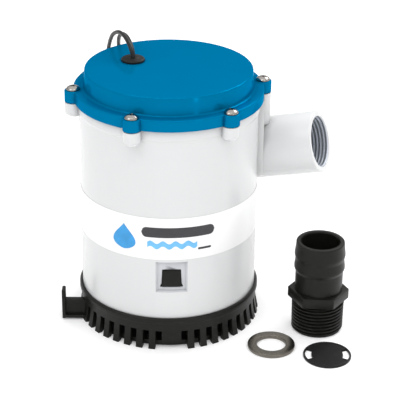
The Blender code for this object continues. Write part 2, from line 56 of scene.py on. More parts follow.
# ------------------------------------------------------------------ shape makers, in mm
def rounded(loop, steps=5):
    """A closed outline of (a, b, corner radius) with its corners turned into arcs."""
    out = []
    n = len(loop)
    for i in range(n):
        a, b, r = loop[i]
        p = Vector((a, b))
        if r <= 0:
            out.append((a, b))
            continue
        p0 = Vector(loop[i - 1][:2])
        p1 = Vector(loop[(i + 1) % n][:2])
        d0 = (p0 - p)
        d1 = (p1 - p)
        l0, l1 = d0.length, d1.length
        d0.normalize()
        d1.normalize()
        ang = math.acos(max(-1.0, min(1.0, d0.dot(d1))))
        if ang > math.pi - 0.02:
            out.append((a, b))
            continue
        cut_len = min(r / math.tan(ang / 2), l0 * 0.49, l1 * 0.49)
        rr = cut_len * math.tan(ang / 2)
        mid = (d0 + d1).normalized()
        centre = p + mid * (rr / math.sin(ang / 2))
        s = p + d0 * cut_len - centre
        e = p + d1 * cut_len - centre
        a0 = math.atan2(s.y, s.x)
        a1 = math.atan2(e.y, e.x)
        da = (a1 - a0 + math.pi) % (2 * math.pi) - math.pi
        for k in range(steps + 1):
            t = a0 + da * k / steps
            out.append((centre.x + rr * math.cos(t), centre.y + rr * math.sin(t)))
    return out


def turned(profile, seg, phase=0.0):
    points, rings = [], []
    for r, z in profile:
        if r < 1e-6:
            rings.append([len(points)] * seg)
            points.append((0.0, 0.0, z))
            continue
        ring = []
        for i in range(seg):
            a = phase + 2 * math.pi * i / seg
            ring.append(len(points))
            points.append((r * math.cos(a), r * math.sin(a), z))
        rings.append(ring)
    faces = []
    for a, b in zip(rings, rings[1:] + rings[:1]):
        if a[0] == a[1] and b[0] == b[1]:
            continue
        for i in range(seg):
            j = (i + 1) % seg
            corners = []
            for c in (a[i], b[i], b[j], a[j]):
                if c not in corners:
                    corners.append(c)
            faces.append(corners)
    return points, faces


def prism(outline, z0, z1):
    n = len(outline)
    points = [(x, y, z0) for x, y in outline] + [(x, y, z1) for x, y in outline]
    faces = [list(range(n))[::-1], list(range(n, 2 * n))]
    faces += [[i, (i + 1) % n, n + (i + 1) % n, n + i] for i in range(n)]
    return points, faces


def block(x0, x1, y0, y1, z0, z1):
    return prism([(x0, y0), (x1, y0), (x1, y1), (x0, y1)], z0, z1)


def rod(r, z0, z1, seg, phase=0.0):
    return prism([(r * math.cos(phase + 2 * math.pi * i / seg), r * math.sin(phase + 2 * math.pi * i / seg)) for i in range(seg)], z0, z1)


def sector(r0, r1, a0, a1, z0, z1, steps):
    out = [(r1 * math.cos(rad(a0 + (a1 - a0) * i / steps)), r1 * math.sin(rad(a0 + (a1 - a0) * i / steps))) for i in range(steps + 1)]
    out += [(r0 * math.cos(rad(a1 + (a0 - a1) * i / steps)), r0 * math.sin(rad(a1 + (a0 - a1) * i / steps))) for i in range(steps + 1)]
    return prism(out, z0, z1)


def loft(sections, capped=True):
    n = len(sections[0])
    points = [p for s in sections for p in s]
    faces = [list(range(n))[::-1], list(range(len(points) - n, len(points)))] if capped else []
    for k in range(len(sections) - 1):
        for i in range(n):
            j = (i + 1) % n
            faces.append([k * n + i, k * n + j, (k + 1) * n + j, (k + 1) * n + i])
    return points, faces


def moved(shape, matrix):
    points, faces = shape
    return [tuple(matrix @ Vector(p)) for p in points], faces


def shifted(shape, x=0.0, y=0.0, z=0.0):
    return moved(shape, Matrix.Translation((x, y, z)))


def turned_by(shape, degrees):
    return moved(shape, Matrix.Rotation(rad(degrees), 4, "Z"))


def together(*shapes):
    points, faces = [], []
    for some, some_faces in shapes:
        base = len(points)
        points = points + some
        faces = faces + [[base + i for i in f] for f in some_faces]
    return points, faces


def polar(r, d):
    return r * math.cos(rad(d)), r * math.sin(rad(d))


def softbox(x0, x1, y0, y1, z0, z1, r, segs=2):
    """A block with all its edges rounded."""
    bm = bmesh.new()
    bmesh.ops.create_cube(bm, size=1.0)
    for v in bm.verts:
        v.co = Vector(((x0 + x1) / 2 + v.co.x * (x1 - x0), (y0 + y1) / 2 + v.co.y * (y1 - y0), (z0 + z1) / 2 + v.co.z * (z1 - z0)))
    bmesh.ops.bevel(bm, geom=bm.edges[:], offset=r, segments=segs, profile=0.5, affect="EDGES")
    bm.verts.index_update()
    points = [tuple(v.co) for v in bm.verts]
    faces = [[v.index for v in f.verts] for f in bm.faces]
    bm.free()
    return points, faces


def softened(shape, r, segs=2, angle=30.0):
    """The shape with its sharp edges rounded."""
    bm = bmesh.new()
    verts = [bm.verts.new(p) for p in shape[0]]
    for f in shape[1]:
        bm.faces.new([verts[i] for i in f])
    bmesh.ops.recalc_face_normals(bm, faces=bm.faces)
    edges = [e for e in bm.edges if len(e.link_faces) == 2 and e.calc_face_angle(0) > rad(angle)]
    bmesh.ops.bevel(bm, geom=edges, offset=r, segments=segs, profile=0.5, affect="EDGES", clamp_overlap=True)
    bm.verts.index_update()
    points = [tuple(v.co) for v in bm.verts]
    faces = [[v.index for v in f.verts] for f in bm.faces]
    bm.free()
    return points, faces


def helix(radius_at, z0, z1, dz, seg):
    """A closed turned solid whose radius follows (angle, z)."""
    rows = int(round((z1 - z0) / dz))
    sections = []
    for k in range(rows + 1):
        z = z0 + (z1 - z0) * k / rows
        sections.append([(radius_at(2 * math.pi * i / seg, z) * math.cos(2 * math.pi * i / seg), radius_at(2 * math.pi * i / seg, z) * math.sin(2 * math.pi * i / seg), z) for i in range(seg)])
    return loft(sections)


def tube_along(path, r, sides):
    path = [Vector(p) for p in path]
    sections = []
    normal = None
    for i, p in enumerate(path):
        ahead = path[min(i + 1, len(path) - 1)] - path[max(i - 1, 0)]
        ahead.normalize()
        if normal is None:
            normal = ahead.orthogonal().normalized()
        else:
            normal = (normal - ahead * normal.dot(ahead)).normalized()
        side = ahead.cross(normal)
        sections.append([tuple(p + r * (math.cos(t) * normal + math.sin(t) * side)) for t in [2 * math.pi * k / sides for k in range(sides)]])
    return loft(sections)


def spline(knots, steps):
    knots = [Vector(k) for k in knots]
    knots = [knots[0] * 2 - knots[1]] + knots + [knots[-1] * 2 - knots[-2]]
    out = []
    for i in range(1, len(knots) - 2):
        p0, p1, p2, p3 = knots[i - 1:i + 3]
        for s in range(steps):
            t = s / steps
            out.append(0.5 * ((2 * p1) + (p2 - p0) * t + (2 * p0 - 5 * p1 + 4 * p2 - p3) * t * t + (3 * p1 - p0 - 3 * p2 + p3) * t ** 3))
    out.append(knots[-2])
    return out


# ------------------------------------------------------------------ objects
def raw(name, shape):
    mesh = bpy.data.meshes.new(name)
    mesh.from_pydata([(x * MM, y * MM, z * MM) for x, y, z in shape[0]], [], shape[1])
    bm = bmesh.new()
    bm.from_mesh(mesh)
    bmesh.ops.recalc_face_normals(bm, faces=bm.faces)
    bm.to_mesh(mesh)
    bm.free()
    obj = bpy.data.objects.new(name, mesh)
    bpy.context.scene.collection.objects.link(obj)
    return obj


def carve(name, shape, *steps):
    """Joins ("+") and cuts ("-") shapes in turn and returns the resulting shape."""
    obj = raw(name, shape)
    helpers = []
    for k, (how, other) in enumerate(steps):
        helper = raw(f"{name}_h{k}", other)
        helpers.append(helper)
        mod = obj.modifiers.new(f"m{k}", "BOOLEAN")
        mod.operation = "UNION" if how == "+" else "DIFFERENCE"
        mod.solver = "EXACT"
        mod.object = helper
    bpy.context.view_layer.update()
    graph = bpy.context.evaluated_depsgraph_get()
    mesh = bpy.data.meshes.new_from_object(obj.evaluated_get(graph))
    points = [(v.co.x / MM, v.co.y / MM, v.co.z / MM) for v in mesh.vertices]
    faces = [list(p.vertices) for p in mesh.polygons]
    for o in helpers + [obj]:
        data = o.data
        bpy.data.objects.remove(o, do_unlink=True)
        bpy.data.meshes.remove(data)
    bpy.data.meshes.remove(mesh)
    return points, faces


def piece(name, shape, stuff, body, nodes=(), smooth=32.0, weld=0.0):
    obj = raw(name, shape)
    mesh = obj.data
    if weld:
        bm = bmesh.new()
        bm.from_mesh(mesh)
        bmesh.ops.remove_doubles(bm, verts=bm.verts, dist=weld)
        bmesh.ops.dissolve_degenerate(bm, edges=bm.edges, dist=weld)
        bm.to_mesh(mesh)
        bm.free()
    mesh.materials.append(stuff)
    mesh.shade_smooth()
    mesh.set_sharp_from_angle(angle=rad(smooth))
    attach(obj, body)
    if nodes:
        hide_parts(*nodes)
    return obj


# ------------------------------------------------------------------ materials
def node(tree, kind, **values):
    made = tree.nodes.new(kind)
    for key, value in values.items():
        setattr(made, key, value)
    return made


def finish(name, colour, rough, metallic=0.0, specular=0.5, grain=900.0, grain_bump=0.03, grain_depth=0.00004,
           mottling=60.0, vary=0.05, rough_vary=0.08, stretch=(1, 1, 1), coat=0.0, coat_rough=0.1, edge=0.0, ior=1.46, sheen=0.0, anisotropy=0.0, tint=(1.0, 1.0, 1.0), painted_shade=0.0, reach=0.007):
    """A finish with fine moulded or brushed grain in its relief, slow variation in its colour and gloss, and, where
    asked for, painted shade that darkens its colour in corners and recesses.
    """
    made = bpy.data.materials.new(name)
    made.use_nodes = True
    tree = made.node_tree
    shader = tree.nodes["Principled BSDF"]
    shader.inputs["Metallic"].default_value = metallic
    shader.inputs["Specular IOR Level"].default_value = specular
    shader.inputs["IOR"].default_value = ior
    shader.inputs["Coat Weight"].default_value = coat
    shader.inputs["Coat Roughness"].default_value = coat_rough
    shader.inputs["Sheen Weight"].default_value = sheen
    shader.inputs["Anisotropic"].default_value = anisotropy
    shader.inputs["Specular Tint"].default_value = (*tint, 1.0)
    coords = node(tree, "ShaderNodeTexCoord")
    mapping = node(tree, "ShaderNodeMapping")
    mapping.inputs["Scale"].default_value = stretch
    tree.links.new(coords.outputs["Object"], mapping.inputs["Vector"])
    slow = node(tree, "ShaderNodeTexNoise")
    slow.inputs["Scale"].default_value = mottling
    slow.inputs["Detail"].default_value = 3.0
    tree.links.new(mapping.outputs["Vector"], slow.inputs["Vector"])
    fine = node(tree, "ShaderNodeTexNoise")
    fine.inputs["Scale"].default_value = grain
    fine.inputs["Detail"].default_value = 4.0
    tree.links.new(mapping.outputs["Vector"], fine.inputs["Vector"])
    ramp = node(tree, "ShaderNodeValToRGB")
    low = [max(0.0, c * (1 - vary)) for c in colour]
    high = [min(1.0, c * (1 + vary)) for c in colour]
    ramp.color_ramp.elements[0].position = 0.3
    ramp.color_ramp.elements[0].color = (*low, 1)
    ramp.color_ramp.elements[1].position = 0.7
    ramp.color_ramp.elements[1].color = (*high, 1)
    tree.links.new(slow.outputs["Fac"], ramp.inputs["Fac"])
    if painted_shade:
        # painted shade: ambient occlusion darkens the base colour in corners and recesses, standing in for the shade
        # that falls there
        hollow = node(tree, "ShaderNodeAmbientOcclusion", samples=16)
        hollow.inputs["Distance"].default_value = reach
        shade = node(tree, "ShaderNodeMapRange")
        shade.inputs["From Min"].default_value = 0.25
        shade.inputs["From Max"].default_value = 0.95
        shade.inputs["To Min"].default_value = 1.0 - painted_shade
        shade.inputs["To Max"].default_value = 1.0
        tree.links.new(hollow.outputs["AO"], shade.inputs["Value"])
        darker = node(tree, "ShaderNodeVectorMath", operation="SCALE")
        tree.links.new(ramp.outputs["Color"], darker.inputs["Vector"])
        tree.links.new(shade.outputs["Result"], darker.inputs["Scale"])
        tree.links.new(darker.outputs["Vector"], shader.inputs["Base Color"])
    else:
        tree.links.new(ramp.outputs["Color"], shader.inputs["Base Color"])
    span = node(tree, "ShaderNodeMapRange")
    span.inputs["From Min"].default_value = 0.3
    span.inputs["From Max"].default_value = 0.7
    span.inputs["To Min"].default_value = max(0.02, rough - rough_vary / 2)
    span.inputs["To Max"].default_value = min(1.0, rough + rough_vary / 2)
    tree.links.new(fine.outputs["Fac"], span.inputs["Value"])
    tree.links.new(span.outputs["Result"], shader.inputs["Roughness"])
    bump = node(tree, "ShaderNodeBump")
    bump.inputs["Strength"].default_value = grain_bump
    bump.inputs["Distance"].default_value = grain_depth
    tree.links.new(fine.outputs["Fac"], bump.inputs["Height"])
    if edge:
        bevel = node(tree, "ShaderNodeBevel")
        bevel.samples = 4
        bevel.inputs["Radius"].default_value = edge
        tree.links.new(bevel.outputs["Normal"], bump.inputs["Normal"])
    tree.links.new(bump.outputs["Normal"], shader.inputs["Normal"])
    made.diffuse_color = (*colour, 1.0)
    return made


# the white, blue and screw finishes get painted shade in their corners and recesses
WHITE = finish("moulded_white", (0.68, 0.685, 0.69), 0.24, specular=0.45, grain=500, grain_bump=0.04, grain_depth=0.00001, mottling=18, vary=0.008, rough_vary=0.04, edge=0.0007, painted_shade=0.32)
# a darker, bluer copy of the white for the outlet bore: painted shade
WHITE_BORE_PAINTED_SHADE = finish("moulded_white_bore_painted_shade", (0.56, 0.60, 0.67), 0.3, specular=0.5, grain=900, grain_bump=0.1, grain_depth=0.00002, mottling=60, vary=0.05, rough_vary=0.08, painted_shade=0.75, reach=0.004)
# a darker copy of the white for the latch window pockets: painted shade
WHITE_RECESS_PAINTED_SHADE = finish("moulded_white_recess_painted_shade", (0.56, 0.57, 0.60), 0.32, specular=0.4, grain=900, grain_bump=0.06, grain_depth=0.00002, mottling=60, vary=0.03, rough_vary=0.06, edge=0.0005, painted_shade=0.8, reach=0.006)
FILM = finish("white_label_film", (0.90, 0.90, 0.90), 0.3, specular=0.4, grain=900, grain_bump=0.04, grain_depth=0.00001, mottling=30, vary=0.006, rough_vary=0.04)
BLUE = finish("moulded_blue", (0.0, 0.160, 0.335), 0.14, metallic=0.3, specular=0.0, grain=500, grain_bump=0.02, grain_depth=0.00001, mottling=30, vary=0.02, rough_vary=0.01, tint=(0.0, 0.62, 0.92), painted_shade=0.45)
BLACK = finish("moulded_black", (0.0065, 0.0067, 0.0052), 0.42, specular=0.24, grain=2200, grain_bump=0.3, grain_depth=0.00003, mottling=90, vary=0.15, rough_vary=0.12, edge=0.0004)
ADAPTER = finish("moulded_black_nylon", (0.0066, 0.0067, 0.0050), 0.4, specular=0.24, grain=2000, grain_bump=0.25, grain_depth=0.00003, mottling=90, vary=0.15, rough_vary=0.12, edge=0.0003)
RUBBER = finish("black_rubber", (0.0085, 0.0085, 0.0082), 0.52, specular=0.26, grain=3200, grain_bump=0.4, grain_depth=0.00004, mottling=200, vary=0.2, rough_vary=0.15)
CABLE = finish("cable_jacket", (0.009, 0.009, 0.009), 0.36, specular=0.35, grain=1500, grain_bump=0.15, grain_depth=0.00003, mottling=120, vary=0.15, rough_vary=0.1)
SCREW = finish("screw_steel", (0.33, 0.31, 0.29), 0.15, metallic=1.0, painted_shade=0.85, reach=0.0025, grain=3000, grain_bump=0.15, grain_depth=0.00002, mottling=500, vary=0.1, rough_vary=0.12)
WASHER = finish("washer_steel", (0.165, 0.152, 0.13), 0.25, metallic=1.0, grain=2600, grain_bump=0.3, grain_depth=0.00003, mottling=140, vary=0.12, rough_vary=0.16)
INNER = finish("moulded_grey", (0.26, 0.27, 0.28), 0.4, grain=1500, grain_bump=0.25, grain_depth=0.00004, mottling=80, vary=0.06, rough_vary=0.1)
ZINC = finish("zinc_plated_sheet", (0.55, 0.55, 0.52), 0.32, metallic=1.0, grain=1800, grain_bump=0.2, grain_depth=0.00003, mottling=220, vary=0.12, rough_vary=0.15)
BRIGHT = finish("bright_steel", (0.6, 0.59, 0.57), 0.18, metallic=1.0, grain=2600, grain_bump=0.1, grain_depth=0.00002, mottling=300, vary=0.08, rough_vary=0.1)
STACK = finish("lamination_stack", (0.34, 0.34, 0.35), 0.4, metallic=1.0, grain=500, grain_bump=0.5, grain_depth=0.00006, mottling=60, vary=0.15, rough_vary=0.15, stretch=(0.02, 0.02, 4.0))
COPPER = finish("enamelled_copper", (0.52, 0.19, 0.07), 0.28, metallic=1.0, grain=900, grain_bump=0.8, grain_depth=0.0001, mottling=120, vary=0.18, rough_vary=0.12, stretch=(1.0, 1.0, 0.3))
BRASS = finish("bright_brass", (0.68, 0.48, 0.18), 0.25, metallic=1.0, grain=2200, grain_bump=0.15, grain_depth=0.00002, mottling=250, vary=0.1, rough_vary=0.12)
FERRITE = finish("pressed_ferrite", (0.05, 0.05, 0.055), 0.65, grain=1800, grain_bump=0.5, grain_depth=0.00005, mottling=150, vary=0.2, rough_vary=0.15)
CARBON = finish("pressed_carbon", (0.03, 0.03, 0.032), 0.7, grain=2500, grain_bump=0.5, grain_depth=0.00004, mottling=200, vary=0.25, rough_vary=0.15)
INK_BLUE = finish("ink_blue", (0.045, 0.31, 0.66), 0.35, specular=0.35, grain=1600, grain_bump=0.05, mottling=120, vary=0.12, rough_vary=0.05)
INK_SKY = finish("ink_sky", (0.17, 0.5, 0.83), 0.35, specular=0.35, grain=1600, grain_bump=0.05, mottling=120, vary=0.1, rough_vary=0.05)
INK_GREY = finish("ink_grey", (0.045, 0.045, 0.05), 0.4, specular=0.35, grain=1600, grain_bump=0.05, mottling=120, vary=0.1, rough_vary=0.05)

CARRIED = {
    "motor_can": ZINC, "magnet_a": FERRITE, "magnet_b": FERRITE, "armature_core": STACK, "armature_windings": COPPER,
    "commutator": COPPER, "motor_shaft": BRIGHT, "lower_bearing": BRIGHT, "upper_bearing": BRIGHT, "motor_end_cap": BLACK,
    "brush_holder_a": BRASS, "brush_holder_b": BRASS, "brush_a": CARBON, "brush_b": CARBON, "brush_spring_a": BRIGHT,
    "brush_spring_b": BRIGHT, "through_bolt_a": BRIGHT, "through_bolt_b": BRIGHT, "motor_mount_screw_a": BRIGHT,
    "motor_mount_screw_b": BRIGHT, "motor_chamber": INNER, "chamber_oring": RUBBER, "cover_gasket": RUBBER,
    "shaft_seal": RUBBER, "impeller_nut": BRASS, "volute_screw_1": BRIGHT, "volute_screw_2": BRIGHT, "volute_screw_3": BRIGHT,
}
for name, stuff in CARRIED.items():
    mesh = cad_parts[name].data
    mesh.materials.clear()
    mesh.materials.append(stuff)

# ------------------------------------------------------------------ housing
WALL_R = 71.5
SEG = 240
MOUTH_X, MOUTH_Y, MOUTH_Z = 112.7, 46.2, 148.9
MOUTH = Matrix.Translation((MOUTH_X, MOUTH_Y, MOUTH_Z)) @ Matrix.Rotation(rad(90.0 - TILT), 4, "Y")
SLOPE = math.tan(rad(TILT))
HALF = 25.3
PAD_R = 75.9

shell = turned(
    rounded([
        (71.5, 18.0, 0.6), (71.5, 178.6, 2.5), (72.6, 180.6, 1.0), (72.6, 188.1, 0.3), (68.5, 188.1, 0.3), (68.5, 83.0, 0.6),
        (8.0, 83.0, 0.2), (8.0, 80.0, 0.2), (68.5, 80.0, 0.6), (68.5, 18.0, 0.6)], 3),
    SEG, rad(0.37))


def outlet_pad(grow=0.0, steps=60):
    """The thicker patch of wall that the outlet comes out of: round below the tube, upright sides up to the rim."""
    first = math.degrees(math.asin((MOUTH_Y - HALF) / PAD_R)) + 0.05
    last = math.degrees(math.asin((MOUTH_Y + HALF) / PAD_R)) - 0.05
    sections = []
    for k in range(steps + 1):
        a = rad(first - grow + (last - first + 2 * grow) * (1 - math.cos(math.pi * k / steps)) / 2)
        centre = MOUTH_Z - (MOUTH_X - 73.5 * math.cos(a)) * SLOPE
        low = centre - grow - math.sqrt(max(0.0, HALF ** 2 - (PAD_R * math.sin(a) - MOUTH_Y) ** 2))
        sections.append([(r * math.cos(a), r * math.sin(a), z) for r, z in ((69.6, low), (PAD_R - 0.7, low), (PAD_R - 0.2, low + 0.2), (PAD_R, low + 0.7), (PAD_R, 187.6), (69.6, 187.6))])
    return loft(sections)


tube = moved(turned(rounded([(0, -108.0, 0), (25.0, -108.0, 0), (25.0, 0, 1.3), (0, 0, 0)], 4), 128, rad(1.1)), MOUTH)


def boss(z0, z1, r=6.9):
    return turned(rounded([(0, z1, 0), (r, z1, 0.25), (r, z0 + 2.6, 1.2), (r - 2.4, z0, 1.2), (0, z0, 0)], 3), 48, rad(2.3))


ears = [shifted(boss(159.5 if a == 30 else 176.4, 187.95), *polar(75.6, a)) for a in (30, 90, 150, 210, 270, 330)]


def mouth_thread(angle, z):
    """Radius of the outlet's bore at a depth z below the mouth (z from -31 to 2)."""
    if z > -0.2:
        return 20.9 + max(0.0, z) * 0.6
    turn = ((-z) / 2.95 + angle / (2 * math.pi)) % 1.0
    wave = 0.5 + 0.95 * math.cos(2 * math.pi * turn)
    wave = max(0.0, min(1.0, wave))
    fade = max(0.0, min(1.0, (z + 29.5) / 2.0))
    lead = max(0.0, min(1.0, (-z - 0.2) / 1.2))
    radius = 21.5 - 1.7 * (1 - wave)
    radius = radius * fade + 19.8 * (1 - fade)
    return radius * lead + 20.8 * (1 - lead)


bore = moved(helix(mouth_thread, -31.0, 2.0, 0.24, 120), MOUTH)
throat = moved(turned([(0, -29.0), (18.0, -29.0), (18.0, -94.0), (0, -94.0)], 96, rad(0.7)), MOUTH)


def window_hole(angle):
    outline = ((-9.1, 54.3), (9.1, 54.3), (8.9, 55.6), (7.9, 57.4), (7.4, 69.8), (-7.4, 69.8), (-7.9, 57.4), (-8.9, 55.6))
    return turned_by(loft([[(x, y, z) for y, z in outline] for x in (62.0, 72.5)]), angle)


def window_recess(angle):
    """A shallow pocket with a floor that follows the wall and sides that open outwards a little."""
    def ring(r, half, z0, z1, steps=12):
        low = [(r * math.cos(rad(angle - half + 2 * half * i / steps)), r * math.sin(rad(angle - half + 2 * half * i / steps)), z0) for i in range(steps + 1)]
        return low + [(x, y, z1) for x, y, _ in low[::-1]]
    return loft([ring(69.7, 8.7, 51.8, 75.4), ring(71.0, 9.7, 50.9, 76.6), ring(71.6, 10.2, 50.2, 77.2), ring(75.0, 12.5, 46.9, 80.5)])


housing = carve(
    "housing_work", shell,
    ("+", outlet_pad()), ("+", tube), ("+", together(*ears)),
    ("-", throat), ("-", bore), ("-", rod(68.8, 88.0, 195.0, SEG, rad(0.1))),
    ("-", together(window_recess(LATCH), window_recess(LATCH + 180))),
    ("-", together(window_hole(LATCH), window_hole(LATCH + 180))),
    ("-", together(
        *[sector(48.7, 52.4, a - 29.3, a + 29.3, 78.0, 85.3, 16) for a in (1.0, 91.0, 181.0, 271.0)],
        *[shifted(rod(2.35, 179.5, 190.0, 24), *polar(75.6, a)) for a in (30, 90, 150, 210, 270, 330)],
        *[shifted(rod(1.8, 79.0, 82.3, 20), *polar(59.0, a)) for a in (0.0, 120.0, 240.0)])),
)
shell_piece = piece("housing_shell", housing, WHITE, "pump", ["pump_housing"], smooth=28)
shell_piece.data.materials.append(WHITE_BORE_PAINTED_SHADE)
shell_piece.data.materials.append(WHITE_RECESS_PAINTED_SHADE)
to_mouth = MOUTH.inverted()
for polygon in shell_piece.data.polygons:
    corners = [shell_piece.data.vertices[i].co / MM for i in polygon.vertices]
    # faces inside the outlet bore take the darker copy of the white: painted shade
    if all(-95.0 < at.z < -0.5 and math.hypot(at.x, at.y) < 22.2 for at in (to_mouth @ c for c in corners)):
        polygon.material_index = 1
    # faces in the latch window pockets take another darker copy of the white: painted shade
    if all(50.0 < c.z < 77.6 and 68.7 < math.hypot(c.x, c.y) and
           abs((math.degrees(math.atan2(c.y, c.x)) - LATCH + 90.0) % 180.0 - 90.0) < 10.8 for c in corners):
        polygon.material_index = 2

# ------------------------------------------------------------------ label with plain artwork
film = carve(
    "film_work",
    turned(rounded([(71.55, 79.3, 0), (71.85, 79.3, 0.1), (71.85, 115.2, 0.1), (71.55, 115.2, 0)], 2), 240, rad(0.37)),
    ("-", outlet_pad(0.4)),
    ("-", moved(rod(25.4, -107.0, 0.0, 128, rad(1.1)), MOUTH)))
piece("label_film", film, FILM, "pump", ["label_band"])


def on_label(outline, r0=71.8, r1=71.93, step=1.2):
    """A closed outline of (degrees, z) laid on the label as a thin raised patch of ink."""
    n = len(outline)
    points = [(r0 * math.cos(rad(a)), r0 * math.sin(rad(a)), z) for a, z in outline]
    points += [(r1 * math.cos(rad(a)), r1 * math.sin(rad(a)), z) for a, z in outline]
    faces = [list(range(n))[::-1], list(range(n, 2 * n))]
    faces += [[i, (i + 1) % n, n + (i + 1) % n, n + i] for i in range(n)]
    return points, faces


def strip(a0, a1, low, high, steps):
    """An ink band between two height curves, as quads that follow the label."""
    points, faces = [], []
    for r in (71.8, 71.93):
        for i in range(steps + 1):
            a = a0 + (a1 - a0) * i / steps
            for z in (low(a), high(a)):
                points.append((r * math.cos(rad(a)), r * math.sin(rad(a)), z))
    m = 2 * (steps + 1)
    for i in range(steps):
        faces.append([2 * i, 2 * i + 1, 2 * i + 3, 2 * i + 2])
        faces.append([m + 2 * i, m + 2 * i + 2, m + 2 * i + 3, m + 2 * i + 1])
        faces.append([2 * i, 2 * i + 2, m + 2 * i + 2, m + 2 * i])
        faces.append([2 * i + 1, m + 2 * i + 1, m + 2 * i + 3, 2 * i + 3])
    e = 2 * steps
    faces.append([0, m, m + 1, 1])
    faces.append([e, e + 1, m + e + 1, m + e])
    return points, faces


def pill(a0, a1, z0, z1, steps=60):
    """A level bar with round ends."""
    h = (z1 - z0) / 2
    zc = (z0 + z1) / 2
    deg = math.degrees(h / 71.9)

    def reach(a):
        d = min(a - a0, a1 - a)
        if d >= deg:
            return h
        t = max(0.0, d / deg)
        return max(0.02, h * math.sqrt(max(0.0, 1 - (1 - t) ** 2)))

    return strip(a0, a1, lambda a: zc - reach(a), lambda a: zc + reach(a), steps)


def drop(ac, zc, wide, tall, steps=40, across=10):
    """A water drop with its point up, laid on the label as a patch that follows the curve."""
    def half(t):
        return wide * math.sin(math.pi * min(1.0, t ** 0.62)) ** 1.1

    points, faces = [], []
    deg = math.degrees(1 / 71.9)
    for r in (71.78, 71.95):
        for i in range(steps + 1):
            t = i / steps
            z = zc - tall + 2.0 * tall * t
            w = max(0.03, half(t)) * deg
            for j in range(across + 1):
                a = ac + w * (2.0 * j / across - 1.0)
                points.append((r * math.cos(rad(a)), r * math.sin(rad(a)), z))
    row = across + 1
    m = row * (steps + 1)
    for i in range(steps):
        for j in range(across):
            q = [i * row + j, i * row + j + 1, (i + 1) * row + j + 1, (i + 1) * row + j]
            faces.append(q)
            faces.append([m + k for k in q[::-1]])
        for j, turn_over in ((0, False), (across, True)):
            q = [i * row + j, (i + 1) * row + j, m + (i + 1) * row + j, m + i * row + j]
            faces.append(q[::-1] if turn_over else q)
    for i in (0, steps):
        for j in range(across):
            q = [i * row + j, i * row + j + 1, m + i * row + j + 1, m + i * row + j]
            faces.append(q[::-1] if i == 0 else q)
    return points, faces


def wave(a0, a1, zc, rise, thick, turns, steps=90):
    def mid(a):
        return zc + rise * math.sin(2 * math.pi * turns * (a - a0) / (a1 - a0))
    return strip(a0, a1, lambda a: mid(a) - thick / 2, lambda a: mid(a) + thick / 2, steps)


piece("label_drop", drop(-97.4, 96.3, 10.0, 11.0), INK_BLUE, "pump")
piece("label_bar_dark", pill(-85.6, -38.8, 98.6, 107.2), INK_GREY, "pump")
piece("label_wave_sky", wave(-81.8, -50.4, 92.2, 1.3, 4.6, 4), INK_SKY, "pump")
piece("label_bar_small", pill(-49.9, -41.0, 86.9, 88.7), INK_GREY, "pump")

# ------------------------------------------------------------------ cover
EARS = (30, 90, 150, 210, 270, 330)
cover_profile = rounded([
    (0, 212.4, 0), (66.3, 212.4, 1.1), (66.9, 206.0, 0), (67.4, 197.7, 1.9), (75.3, 197.7, 1.0), (75.3, 188.4, 0.35),
    (68.1, 188.4, 0.2), (68.1, 184.4, 0.4), (65.5, 184.4, 0.4), (63.4, 209.4, 1.0),
    (47.5, 209.4, 0.5), (47.5, 187.9, 0.4), (44.0, 187.9, 0.4), (44.0, 209.4, 0.5), (0, 209.4, 0)], 5)
ear = turned(rounded([(0, 197.9, 0), (6.9, 197.9, 0.8), (6.9, 188.45, 0.35), (0, 188.45, 0)], 4), 64, rad(2.3))
GX, GY = -32.0, 3.4
cover = carve(
    "cover_work", turned(cover_profile, 240, rad(0.37)),
    ("+", together(*[shifted(ear, *polar(75.6, a)) for a in EARS])),
    ("-", together(
        *[shifted(rod(2.35, 186.0, 200.0, 24), *polar(75.6, a)) for a in EARS],
        shifted(rod(5.3, 207.0, 214.0, 40), GX, GY),
        turned([(68.9, 187.0), (71.1, 187.0), (71.1, 190.0), (68.9, 190.0)], 240, rad(0.1)))),
)
piece("cover_shell", cover, BLUE, "pump", ["top_cover"], smooth=28)

# ------------------------------------------------------------------ cover screws
head_profile = rounded([(0, 201.2, 0), (1.6, 201.2, 0), (3.4, 200.75, 0), (4.8, 199.8, 0.6), (5.4, 199.0, 0.4), (5.5, 198.4, 0.2), (5.35, 198.1, 0.15), (2.0, 198.1, 0), (2.0, 182.2, 0.3), (1.0, 180.4, 0), (0, 180.4, 0)], 3)


def cross_recess():
    arm = loft([[(-2.6, -0.62, 202.0), (2.6, -0.62, 202.0), (2.6, 0.62, 202.0), (-2.6, 0.62, 202.0)],
                [(-1.0, -0.42, 199.2), (1.0, -0.42, 199.2), (1.0, 0.42, 199.2), (-1.0, 0.42, 199.2)]])
    return arm


for k, a in enumerate(EARS):
    x, y = polar(75.6, a)
    spin = 23.0 + 41.0 * k
    one = carve("screw_work", turned(head_profile, 48, rad(1.0)), ("-", turned_by(cross_recess(), spin)), ("-", turned_by(cross_recess(), spin + 90.0)))
    piece(f"cover_screw_{k + 1}_body", shifted(one, x, y), SCREW, "pump", [f"cover_screw_{k + 1}"], smooth=25)

